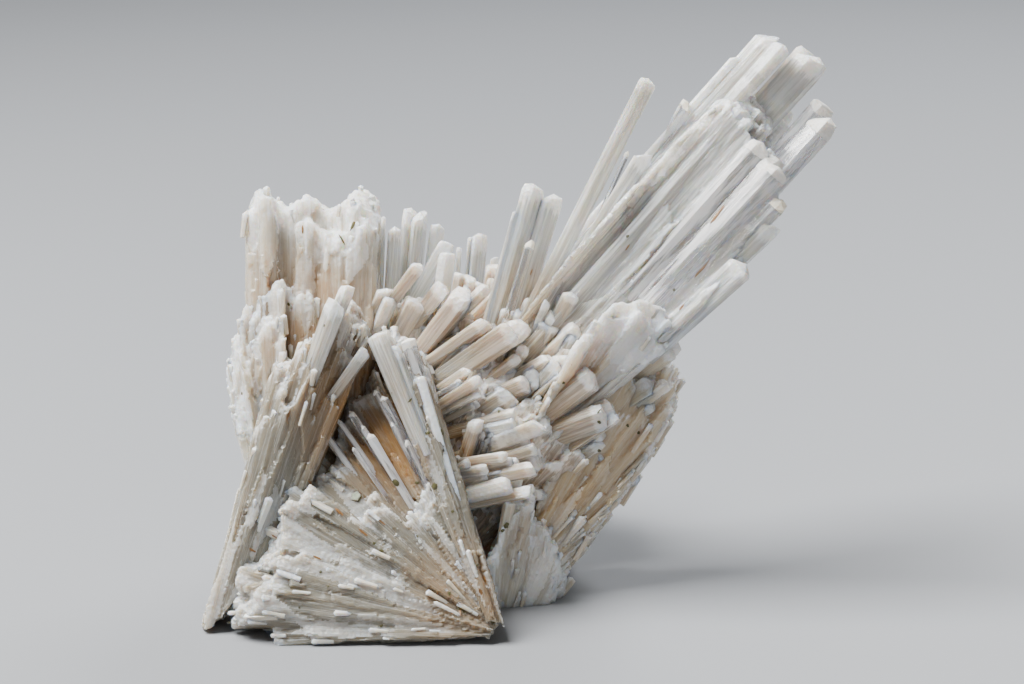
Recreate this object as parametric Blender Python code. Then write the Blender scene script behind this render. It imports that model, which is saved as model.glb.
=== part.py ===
"""A scolecite specimen: sprays of long zeolite crystals grown together into one piece.

The specimen is laid out in the view from its front, in millimetres: across (to the right), up,
and back (away from the viewer). in_model() turns such a point into the model's own frame, which
stands on the ground plane with +Z up, in metres.

A spray is a bundle of six-sided columns that share their walls and run from a small root out to
a sheet of tips, each ending in a low point at its own height. A single crystal is a flattened
six-sided prism that widens towards a blunt, pointed end. All of them are joined into one solid,
and what reaches below the ground is cut off flat.
"""

import math
import random

import bmesh
import bpy
from mathutils import Matrix, Vector

MM = 0.001

# The view that the layout is measured in, mm
VIEW_TILT = math.radians(15)      # the line of sight slopes down by this much
VIEW_DISTANCE = 420               # from the eye to the middle of the specimen
SIGHT_ACROSS = -1.7               # where the line of sight passes
SIGHT_UP = 41.2
GROUND_BELOW = 3.1                # the ground, below the layout's zero

# The middle of the specimen's box, where the model's origin is, mm
MIDDLE_X = -0.25
MIDDLE_Y = 17.2

# Habit of the columns in a spray
HEX_LIFT = 0.22                   # how far a column's middle corners stand out, in cells
IRREGULAR = 0.16                  # how far a column's corners wander, in cells
POINT_HEIGHT = (0.15, 0.6)        # a column's point, as a share of its girth
POINT_PULL = (0.4, 1.6)           # how unevenly the rim's corners draw the point aside
FRONT_ROWS = 0.36                 # what counts as the front of a spray, from front to back
LEDGE_RANGE = (0.93, 1.05)        # how much the columns on a ledge differ

# Habit of the single crystals
ROOT_TAPER = 0.6                  # width at the root, as a share of the width
MAX_ROLL = 15                     # how far a crystal may turn about its length, degrees
CRYSTAL_POINT = 0.3               # height of the point, as a share of the thinner side
CRYSTAL_ASIDE = 0.15              # how far the point may lie off the middle, as a share

GROUND_BLOCK = 300                # side of the block that cuts off what is below ground, mm
MERGE = 0.01                      # corners closer than this are one, mm
SAME_PLANE = math.radians(1)      # faces that turn less than this are one

# Sprays. tips: rows of points on the sheet of tips, from the front row to the back. A spray with
# one row is deep mm thick. spread: the root's size as a share of the tips'. start: where the
# columns begin, from root to tip. ledges: from and to along a row, front rows only or not, and
# how high the columns there may reach.
SPRAYS = {
    "front_fan": {
        "root": (-4, 1, -12),
        "tips": [[(-43.5, -2, -14), (-44, 3.5, -12.5), (-42, 9, -12), (-39, 14, -11), (-36, 19, -10),
                  (-32.5, 23.5, -9), (-29, 27.5, -7), (-25, 33, -4), (-22, 40, -4)]],
        "deep": 14, "columns": 16, "rows": 3, "spread": 0.05, "start": 0, "ragged": 0.10,
        "ledges": [(0, 0.08, False, 0.77), (0.62, 0.76, True, 0.68), (0.76, 1, True, 0.50)],
    },
    "front_ridge": {
        "root": (-4, 2, -10),
        "tips": [[(-21.5, 42, -7), (-19.5, 44, -7), (-18, 43, -7), (-16, 42, -6.5), (-14.5, 41, -6)]],
        "deep": 14, "columns": 5, "rows": 2, "spread": 0.35, "start": 0, "ragged": 0.07,
        "ledges": [],
    },
    "left_bundle": {
        "root": (-41, 3.5, -4),
        "tips": [[(-34.5, 40, -8), (-32, 41.5, -8.5), (-29.5, 43, -8.5), (-26, 48, -8),
                  (-24, 47.5, -7), (-21, 43, -5)]],
        "deep": 12, "columns": 7, "rows": 3, "spread": 0.6, "start": 0, "ragged": 0.06,
        "ledges": [(0.42, 0.50, False, 0.86)],
    },
    "back_left": {
        "root": (-30.5, -2, 9),
        "tips": [[(-39, 60.5, 3), (-37.5, 63, 3), (-35, 63, 3), (-33, 61, 3), (-30.5, 62.5, 3),
                  (-28, 60.5, 3), (-25.5, 62, 3), (-23, 63, 3), (-20, 61, 3)]],
        "deep": 15, "columns": 9, "rows": 3, "spread": 0.75, "start": 0, "ragged": 0.08,
        "ledges": [],
    },
    "left_flank": {
        "root": (-33.5, 4.5, 5),
        "tips": [[(-33.5, 50.5, -1), (-36.5, 49, 0), (-39, 47, 1), (-40.5, 43, 1), (-41.5, 38.5, 2),
                  (-41.5, 34, 3)]],
        "deep": 11, "columns": 6, "rows": 2, "spread": 0.12, "start": 0.05, "ragged": 0.06,
        "ledges": [],
    },
    "tall_spray": {
        "root": (1, 35.5, 6),
        "tips": [[(10, 57.5, -1), (18, 66, -1), (26, 74.5, -1), (31, 77.5, -1), (36, 73.5, -2),
                  (38, 67, -2), (36, 60, -3), (30, 52, -4), (23.5, 44.5, -3)]],
        "deep": 12, "columns": 10, "rows": 3, "spread": 0.7, "start": -0.25, "ragged": 0.16,
        "ledges": [],
    },
    "white_blade": {
        "root": (4, 30, 5),
        "tips": [[(7.5, 41.5, -3), (10, 44.5, -3), (13.5, 47.5, -3), (17, 48, -2.5), (20.5, 47, -2),
                  (23, 43, 0)]],
        "deep": 5, "columns": 4, "rows": 2, "spread": 0.4, "start": 0, "ragged": 0.05,
        "ledges": [],
    },
    "middle": {
        "root": (-17.5, 5, 16),
        "tips": [[(-7.5, 17, 4), (-3.5, 17, 2.5), (2, 18, 3), (8.5, 20, 5)],
                 [(-10.5, 26, 3), (-5, 26, 1), (3, 26, 1), (11, 26, 2)],
                 [(-13, 33, 2), (-6, 34, 0.5), (2, 34, 0), (12.5, 33, 1)],
                 [(-16, 40, 3), (-7.5, 41, 1.5), (1, 41, 0.5), (11, 40, 0.5)],
                 [(-18, 48.5, 6), (-9, 49, 5), (-0.5, 48, 3.5), (10, 47, 3)]],
        "columns": 5, "rows": 4, "spread": 0.25, "start": 0.1, "ragged": 0.16,
        "ledges": [],
    },
    "right_fan": {
        "root": (-3.5, 3.5, 5),
        "tips": [[(12, 43, -1), (18, 42, 0), (22.5, 38, 2), (22, 33, 3), (19, 27, 4), (15, 21, 4.5),
                  (10.5, 15.5, 5), (6.5, 11, 6), (4.5, 6.5, 7)]],
        "deep": 14, "columns": 10, "rows": 2, "spread": 0.10, "start": 0, "ragged": 0.07,
        "ledges": [],
    },
    "behind": {
        "root": (-14.5, 1, 12),
        "tips": [[(-36.5, 47, 20), (-26, 48.5, 26), (-13, 47, 29), (-0.5, 45.5, 27), (12, 41, 20)],
                 [(-39, 33, 22), (-27, 34.5, 32), (-13, 34.5, 35), (1, 33, 32), (16, 29, 21)],
                 [(-38, 20.5, 22), (-27, 22, 34), (-13, 22, 38), (1, 22, 34), (12, 20.5, 22)],
                 [(-35.5, 6.5, 20), (-27, 6.5, 32), (-13, 6.5, 36), (-0.5, 8, 32), (8, 12, 20)]],
        "columns": 6, "rows": 4, "spread": 0.12, "start": 0.1, "ragged": 0.20,
        "ledges": [],
    },
}

# Single crystals, in groups. dive: how far a crystal's root lies behind its tip, as a share of
# its length. Each crystal: its tip; how far it leans to the right of upright, degrees; its
# length, width and thickness.
CRYSTALS = {
    "crest": (0.05, [
        ((-15, 58.5, 14), 5, 34, 4.2, 4.0),
        ((-12, 56.5, 15), 8, 33, 1.7, 2.6),
        ((-11, 54.5, 10), 30, 27, 1.2, 2.0),
        ((-10.5, 52.5, 8), 8, 25, 2.2, 2.5),
        ((-9, 54, 15), 3, 29, 0.8, 1.2),
        ((-7.5, 55.5, 15), 4, 31, 0.8, 1.2),
        ((-6, 55, 16), 6, 32, 3.0, 3.0),
        ((-4, 52.5, 15), 10, 29, 1.1, 1.6),
        ((-18, 56.5, 8), 4, 32, 2.2, 3.0),
        ((-19.5, 58.5, 6), 2, 30, 0.7, 0.9),
        ((1.5, 62, 3), 16, 26, 2.5, 3.0),
        ((4, 60.5, 4), 16, 25, 2.8, 3.0),
        ((1, 55.5, 0), 17, 18, 1.4, 1.4),
        ((-0.5, 59, 3), 16, 24, 1.4, 2.0),
    ]),
    "tall": (0.05, [
        ((17.1, 77.3, 1), 27, 50, 2.5, 2.3),
        ((14.6, 68, 1), 24, 26, 0.8, 0.8),
        ((23, 74.8, 3), 29, 35, 2.3, 2.2),
        ((16.8, 66.5, 0), 32, 32, 2.2, 2.4),
        ((35, 83.2, 3), 42, 52, 6.6, 4.4),
        ((29.3, 80.5, 3), 42, 36, 1.0, 1.0),
        ((40.2, 80.6, 6), 42, 52, 5.2, 4.0),
        ((43, 73, 3), 42, 44, 6.8, 3.6),
        ((35, 65.3, -3), 43, 40, 4.2, 3.2),
        ((33, 68.3, -2), 42, 42, 3.2, 3.0),
        ((36, 60.8, -4), 45, 38, 3.0, 2.8),
        ((30, 51.5, -4), 47, 36, 3.0, 3.0),
        ((30.5, 73, 0), 42, 46, 5.6, 3.6),
        ((24.5, 46.5, -3), 48, 30, 2.0, 2.4),
        ((30.5, 78, 9), 38, 45, 4.2, 4.0),
        ((36, 73.5, 10), 41, 45, 4.8, 4.0),
    ]),
    "centre": (0.35, [
        ((-1.5, 42.5, -2), 55, 16, 4.8, 3.4),
        ((-9, 47, 0), 35, 14, 5.0, 3.0),
        ((-15.5, 46.5, 2), 28, 12, 3.0, 2.6),
        ((-4, 51, 7), 8, 14, 3.0, 3.0),
        ((-8, 50, 8), 8, 12, 2.2, 2.4),
        ((-4.5, 49.5, 5), 15, 13, 1.3, 1.4),
        ((1, 46.5, 3), 30, 14, 2.1, 2.0),
        ((4, 49, 4), 29, 16, 2.4, 2.2),
        ((6.5, 47.5, 0), 29, 22, 1.8, 2.0),
        ((3.5, 44, 1), 27, 16, 4.2, 3.0),
        ((7, 42.5, 0), 50, 10, 2.5, 2.2),
        ((9.5, 41, 2), 30, 14, 4.8, 3.6),
        ((5, 38, -1), 38, 12, 4.0, 2.8),
        ((9, 36, -3), 52, 18, 3.4, 3.2),
        ((10.5, 31, -1), 69, 22, 4.8, 3.4),
        ((10, 28.5, 1), 60, 10, 2.8, 2.8),
        ((1.5, 29, -4), 69, 12, 2.1, 2.2),
        ((-0.5, 29, -2), 55, 10, 2.5, 2.2),
        ((-7, 29.5, -2), 18, 10, 2.0, 2.0),
        ((-5, 29, -1), 25, 10, 1.4, 1.4),
        ((1.5, 24.5, -1), 75, 14, 3.5, 2.6),
        ((0.5, 23, -6), 79, 16, 2.1, 2.2),
        ((-3, 21, -6), 76, 12, 1.8, 2.0),
        ((-1.5, 20, -1), 25, 14, 5.3, 2.6),
        ((-6.5, 39.5, 0), 58, 12, 2.8, 2.4),
        ((-2.5, 33.5, 0), 56, 12, 4.0, 3.0),
        ((1.5, 36, 0), 47, 12, 4.0, 3.0),
        ((-3.5, 47, 5), 45, 14, 3.6, 3.0),
    ]),
    "right": (0.35, [
        ((20, 40, 0), 53, 15, 4.5, 3.4),
        ((17.5, 35, 1), 57, 13, 3.6, 3.0),
        ((16, 27.5, 4), 45, 10, 3.0, 2.6),
        ((15.5, 22, 7), 50, 8, 1.1, 1.2),
        ((5.5, 5.5, 10), 95, 10, 2.0, 3.0),
        ((0.5, 4, 4), 130, 6, 1.7, 2.4),
    ]),
    "behind": (-0.35, [
        ((-31.5, 43, 26), -23, 36, 4.2, 4.0),
        ((-23, 44, 30), -12, 36, 4.8, 4.5),
        ((-10.5, 44.5, 33), 5, 36, 4.0, 4.5),
        ((2, 43, 32), 22, 36, 4.2, 4.5),
        ((10.5, 33, 28), 40, 32, 3.6, 4.0),
        ((5, 26, 38), 38, 28, 3.4, 4.0),
        ((-20, 30, 40), -12, 26, 4.0, 4.5),
        ((-31.5, 22, 34), -40, 24, 3.4, 4.0),
        ((-7.5, 19, 41), 20, 20, 3.6, 4.0),
    ]),
}


def in_model(point):
    """A point of the front view's layout, in the model's frame."""
    across, up, back = point
    scale = 1 + back / VIEW_DISTANCE
    across = SIGHT_ACROSS + (across - SIGHT_ACROSS) * scale
    up = SIGHT_UP + (up - SIGHT_UP) * scale
    y = back * math.cos(VIEW_TILT) + up * math.sin(VIEW_TILT)
    z = up * math.cos(VIEW_TILT) - back * math.sin(VIEW_TILT) - GROUND_BELOW
    return Vector((across - MIDDLE_X, y - MIDDLE_Y, z)) * MM


def tip_rows(spray):
    """The spray's rows of tips in the model's frame."""
    rows = spray["tips"]
    if len(rows) == 1:
        rows = rows + [[(a, u, b + spray["deep"]) for a, u, b in rows[0]]]
    return [[in_model(point) for point in row] for row in rows]


def on_sheet(rows, a, b):
    """The point of the sheet of tips at a along its rows and b from the first row to the last."""
    row = b * (len(rows) - 1)
    column = a * (len(rows[0]) - 1)
    r = min(int(row), len(rows) - 2)
    c = min(int(column), len(rows[0]) - 2)
    near = rows[r][c].lerp(rows[r][c + 1], column - c)
    far = rows[r + 1][c].lerp(rows[r + 1][c + 1], column - c)
    return near.lerp(far, row - r)


def honeycomb(columns, rows, rng):
    """Six-cornered cells, as corner keys, and each corner's place on the unit square."""
    cells = []
    for row in range(rows):
        for column in range(columns):
            x = 2 * column + row % 2
            lower = [(x, row), (x + 1, row), (x + 2, row)]
            upper = [(x + 2, row + 1), (x + 1, row + 1), (x, row + 1)]
            cells.append(lower + upper)
    width = 2 * columns + (rows > 1)
    height = rows + 2 * HEX_LIFT
    places = {}
    for x, y in sorted({corner for cell in cells for corner in cell}):
        lift = HEX_LIFT if (x - y) % 2 == 0 else -HEX_LIFT
        a = (x + 2 * IRREGULAR * rng.uniform(-1, 1)) / width
        b = (y + HEX_LIFT + lift + IRREGULAR * rng.uniform(-1, 1)) / height
        places[x, y] = (min(max(a, 0), 1), min(max(b, 0), 1))
    return cells, places


def column_heights(spray, cells, places, rng):
    """How far each column reaches, from 0 at the root to 1 at the sheet of tips."""
    heights = []
    for cell in cells:
        a = sum(places[k][0] for k in cell) / 6
        b = sum(places[k][1] for k in cell) / 6
        height = 1 - spray["ragged"] * rng.random()
        for low, high, front_only, limit in spray["ledges"]:
            if low <= a <= high and not (front_only and b > FRONT_ROWS):
                height = min(height, limit * rng.uniform(*LEDGE_RANGE))
        heights.append(round(height, 4))
    return heights


def spray_mesh(name, spray, seed):
    """One closed mesh of columns side by side, each as long as its own height says."""
    rng = random.Random(seed)
    rows = tip_rows(spray)
    root = in_model(spray["root"])
    points = [point for row in rows for point in row]
    middle = sum(points, Vector()) / len(points)
    cells, places = honeycomb(spray["columns"], spray["rows"], rng)
    heights = column_heights(spray, cells, places, rng)
    tip_of = {k: on_sheet(rows, *places[k]) for k in places}
    root_of = {k: root + (tip_of[k] - middle) * spray["spread"] for k in places}

    start = spray["start"]
    levels = {k: {start} for k in places}
    beside = {}
    for index, cell in enumerate(cells):
        for k, following in zip(cell, cell[1:] + cell[:1]):
            levels[k].add(heights[index])
            beside[k, following] = index

    bm = bmesh.new()
    made = {}

    def vertex(k, height):
        if (k, height) not in made:
            made[k, height] = bm.verts.new(root_of[k].lerp(tip_of[k], height))
        return made[k, height]

    def climb(k, low, high):
        return [vertex(k, h) for h in sorted(levels[k]) if low <= h <= high]

    for index, cell in enumerate(cells):
        top = heights[index]
        bm.faces.new([vertex(k, start) for k in reversed(cell)])
        rim = [vertex(k, top) for k in cell]
        pull = [rng.uniform(*POINT_PULL) for _ in rim]
        centre = sum((v.co * p for v, p in zip(rim, pull)), Vector()) / sum(pull)
        axis = sum((tip_of[k] - root_of[k] for k in cell), Vector()).normalized()
        girth = sum((v.co - centre).length for v in rim) / 6
        point = bm.verts.new(centre + axis * girth * rng.uniform(*POINT_HEIGHT))
        for v, following in zip(rim, rim[1:] + rim[:1]):
            bm.faces.new((v, following, point))
        for k, following in zip(cell, cell[1:] + cell[:1]):
            other = beside.get((following, k))
            low = start if other is None else heights[other]
            if low < top:
                bm.faces.new(climb(following, low, top) + climb(k, low, top)[::-1])
    bmesh.ops.remove_doubles(bm, verts=bm.verts, dist=MERGE * MM)
    bmesh.ops.recalc_face_normals(bm, faces=bm.faces)
    # The walls are a little warped, and only flat faces join reliably
    bmesh.ops.triangulate(bm, faces=bm.faces)
    return to_mesh(name, bm)


def crystal_mesh(name, dive, crystal, seed):
    """A flattened six-sided prism, from its narrow root to its blunt point."""
    tip, lean, length, width, thickness = crystal
    rng = random.Random(seed)
    lean = math.radians(lean)
    root = (tip[0] - length * math.sin(lean), tip[1] - length * math.cos(lean), tip[2] + length * dive)
    tip = in_model(tip)
    root = in_model(root)
    axis = (tip - root).normalized()
    side = axis.cross(Vector((0, 0, 1))).normalized()
    side = Matrix.Rotation(math.radians(rng.uniform(-MAX_ROLL, MAX_ROLL)), 3, axis) @ side
    face = axis.cross(side)
    turn = Matrix((side, face, axis)).transposed().to_4x4()
    point_height = CRYSTAL_POINT * min(width, thickness) * MM
    depth = (tip - root).length - point_height
    upright = Matrix.Translation((0, 0, depth / 2)) @ Matrix.Rotation(math.pi / 6, 4, "Z")

    bm = bmesh.new()
    bmesh.ops.create_cone(bm, cap_ends=True, segments=6, radius1=ROOT_TAPER / 2, radius2=1 / 2,
                          depth=depth, matrix=upright)
    bmesh.ops.scale(bm, verts=bm.verts, vec=(width * MM, thickness * MM, 1))
    end = max(bm.faces, key=lambda f: f.calc_center_median().z)
    poked = bmesh.ops.poke(bm, faces=[end])
    aside = Vector((rng.uniform(-1, 1) * width, rng.uniform(-1, 1) * thickness, 0))
    poked["verts"][0].co += aside * CRYSTAL_ASIDE * MM + Vector((0, 0, point_height))
    bm.transform(Matrix.Translation(root) @ turn)
    return to_mesh(name, bm)


def to_mesh(name, bm):
    mesh = bpy.data.meshes.new(name)
    bm.to_mesh(mesh)
    bm.free()
    return mesh


def add(name, mesh, collection, helper=False):
    obj = bpy.data.objects.new(name, mesh)
    collection.objects.link(obj)
    obj.hide_render = helper
    if helper:
        obj.display_type = "WIRE"
    return obj


def add_ground(collection):
    """A block whose top face is the ground."""
    bm = bmesh.new()
    below = Matrix.Translation((0, 0, -GROUND_BLOCK / 2 * MM))
    bmesh.ops.create_cube(bm, size=GROUND_BLOCK * MM, matrix=below)
    return add("ground", to_mesh("ground", bm), collection, helper=True)


def boolean(obj, operation, operand):
    modifier = obj.modifiers.new(operation.lower(), "BOOLEAN")
    modifier.operation = operation
    if isinstance(operand, bpy.types.Collection):
        modifier.operand_type = "COLLECTION"
        modifier.collection = operand
    else:
        modifier.object = operand


def islands(bm):
    """The mesh's faces, as lists of those that hang together."""
    left = set(bm.faces)
    found = []
    while left:
        island = [left.pop()]
        for face in island:
            for edge in face.edges:
                for other in edge.link_faces:
                    if other in left:
                        left.remove(other)
                        island.append(other)
        found.append(island)
    return found


def outer_skin(mesh):
    """Grow the crystals together where they enclose a space, by dropping all inner skins.

    Faces that lie in one plane, such as the two halves of a wall, are made one again.
    """
    bm = bmesh.new()
    bm.from_mesh(mesh)
    skins = sorted(islands(bm), key=len)
    inner = [face for skin in skins[:-1] for face in skin]
    bmesh.ops.delete(bm, geom=inner, context="FACES")
    loose = [v for v in bm.verts if not v.link_faces]
    bmesh.ops.delete(bm, geom=loose, context="VERTS")
    bmesh.ops.dissolve_limit(bm, angle_limit=SAME_PLANE, verts=bm.verts, edges=bm.edges)
    return to_mesh("scolecite", bm)


def scolecite_material():
    """Milky white, faintly warm."""
    material = bpy.data.materials.new("scolecite")
    material.use_nodes = True
    shader = material.node_tree.nodes["Principled BSDF"]
    shader.inputs["Base Color"].default_value = (0.86, 0.82, 0.76, 1)
    shader.inputs["Roughness"].default_value = 0.35
    shader.inputs["Metallic"].default_value = 0.0
    return material


def new_collection(name):
    collection = bpy.data.collections.new(name)
    bpy.context.scene.collection.children.link(collection)
    return collection


def main():
    for obj in list(bpy.data.objects):
        bpy.data.objects.remove(obj)
    specimen = new_collection("scolecite_specimen")
    grown = new_collection("grown_crystals")
    cutters = new_collection("cutters")

    first, *others = SPRAYS
    body = add("body", spray_mesh(first, SPRAYS[first], 1), cutters, helper=True)
    for seed, name in enumerate(others, start=2):
        add(name, spray_mesh(name, SPRAYS[name], seed), grown, helper=True)
    for group, (dive, crystals) in CRYSTALS.items():
        for number, crystal in enumerate(crystals):
            name = f"{group}_crystal_{number:02d}"
            add(name, crystal_mesh(name, dive, crystal, 100 + number), grown, helper=True)
    boolean(body, "UNION", grown)
    boolean(body, "DIFFERENCE", add_ground(cutters))

    joined = body.evaluated_get(bpy.context.evaluated_depsgraph_get())
    mesh = outer_skin(bpy.data.meshes.new_from_object(joined))
    mesh.materials.clear()
    mesh.materials.append(scolecite_material())
    add("scolecite", mesh, specimen)


main()
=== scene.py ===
"""The looks of a scolecite specimen: its sprays' fused skins, single crystals, finish and light.

The layout is the one of the solids: across (to the right), up and back (away from the viewer),
in the view from the front, in millimetres. in_model() turns it into the frame's metres.

Each spray is a bundle of columns of uneven length. Its outer skin is remade in small even faces
and broken into patches that follow the grain, with low domes on its ends. Blades and prisms of
single crystals stand on the sprays, and short rods make the sugary crust.
"""

import itertools
import math

import bmesh
import bpy
import numpy as np
from mathutils import Matrix, Vector
from mathutils.bvhtree import BVHTree
from mathutils.kdtree import KDTree


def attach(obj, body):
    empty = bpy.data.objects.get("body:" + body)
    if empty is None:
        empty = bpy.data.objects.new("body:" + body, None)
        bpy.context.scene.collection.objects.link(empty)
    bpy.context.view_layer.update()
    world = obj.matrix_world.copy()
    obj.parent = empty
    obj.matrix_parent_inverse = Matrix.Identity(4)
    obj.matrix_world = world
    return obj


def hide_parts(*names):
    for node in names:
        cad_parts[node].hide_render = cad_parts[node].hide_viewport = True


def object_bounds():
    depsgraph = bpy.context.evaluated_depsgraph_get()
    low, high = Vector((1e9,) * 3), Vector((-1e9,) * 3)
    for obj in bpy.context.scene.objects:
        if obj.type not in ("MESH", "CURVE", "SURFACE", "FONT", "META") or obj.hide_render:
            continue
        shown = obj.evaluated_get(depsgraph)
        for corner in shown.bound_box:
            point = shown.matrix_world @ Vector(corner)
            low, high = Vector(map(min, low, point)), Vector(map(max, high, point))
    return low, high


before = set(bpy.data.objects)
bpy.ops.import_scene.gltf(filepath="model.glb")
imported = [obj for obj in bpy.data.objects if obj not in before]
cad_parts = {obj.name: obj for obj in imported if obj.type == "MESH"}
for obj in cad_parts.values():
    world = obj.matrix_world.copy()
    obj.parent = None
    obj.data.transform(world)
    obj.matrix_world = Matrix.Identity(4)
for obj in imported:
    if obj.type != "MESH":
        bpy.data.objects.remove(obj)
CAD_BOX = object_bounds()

MM = 0.001

# The view that the layout is measured in, mm
VIEW_TILT = math.radians(15)      # the line of sight slopes down by this much
VIEW_DISTANCE = 420               # from the eye to the middle of the specimen
SIGHT_ACROSS = -1.7               # where the line of sight passes
SIGHT_UP = 41.2
GROUND_BELOW = 3.1                # the ground, below the layout's zero
MIDDLE_X = -0.25                  # the middle of the specimen's box, the frame's origin
MIDDLE_Y = 17.2
SENSOR = 36                       # the camera's sensor, and the width of the view at the middle
VIEW_WIDTH = 143.4

# Habit of a spray's columns
COLUMN_LIFT = 0.12                # how far a column's middle corners stand out, in columns
FACET_RELIEF = 0.7                # how far a facet of a spray's side may stand out, mm
FACET_TILT = 0.22                 # how far it may turn, as a slope
ROUND_TOP = 1.0                   # how far a block's end falls off towards its edge, mm
SLANT_TOP = 0.4                   # how far it may slant, as a slope
SMALL_BLOCK = 1.6                 # the smaller blocks that a block is made of, mm
SHORTEST = 0.08                   # a column's least length, as a share of the spray's
LEDGE_DEPTH = 0.36                # how far back a ledge of the front rows reaches, as a share
LAYERS = ((1, 0.35), (2, 0.6), (3, 0.8))      # outer layers, in columns, and their lowest cut
END_ROD = 0.75                    # the usual width of the short rods on the ends, mm
SIDE_ROD = 0.7                    # and of those on the sides

# Relief of a spray's skin: the size of its patches and grains, and how far they stand out, mm
PATCH_LONG = 4.0                  # a patch's length, in widths
PATCH_STEP = 0.5
PATCH_TURN = 0.16                 # how far a patch may turn, as a slope
GRAIN_SIZE = 0.8
GRAIN_LONG = 7.0
GRAIN_STEP = 0.25
DOME_SIZE = 0.9                   # the domes on the ends
DOME_RISE = 0.5
SHARP = math.radians(28)          # faces that meet at more than this stay an edge

# Habit of the single crystals
ROOT_TAPER = 0.8                  # a crystal's width at its root, as a share of its width
SLANT_END = 0.7                   # how far a blade's ends may slant, as a slope
MAX_ROLL = 15                     # how far a crystal may turn about its length, degrees
BLADE_COLUMN = 2.8                # the columns of a blade, mm
BLADE_LIFT = 0.13                 # how far their middle corners stand out, in columns
BLADE_BEVEL = 0.15                # how much they narrow towards their ends, as a share
BESIDE = 1.6                      # how far off its neighbour a smaller crystal grows, in widths

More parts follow.
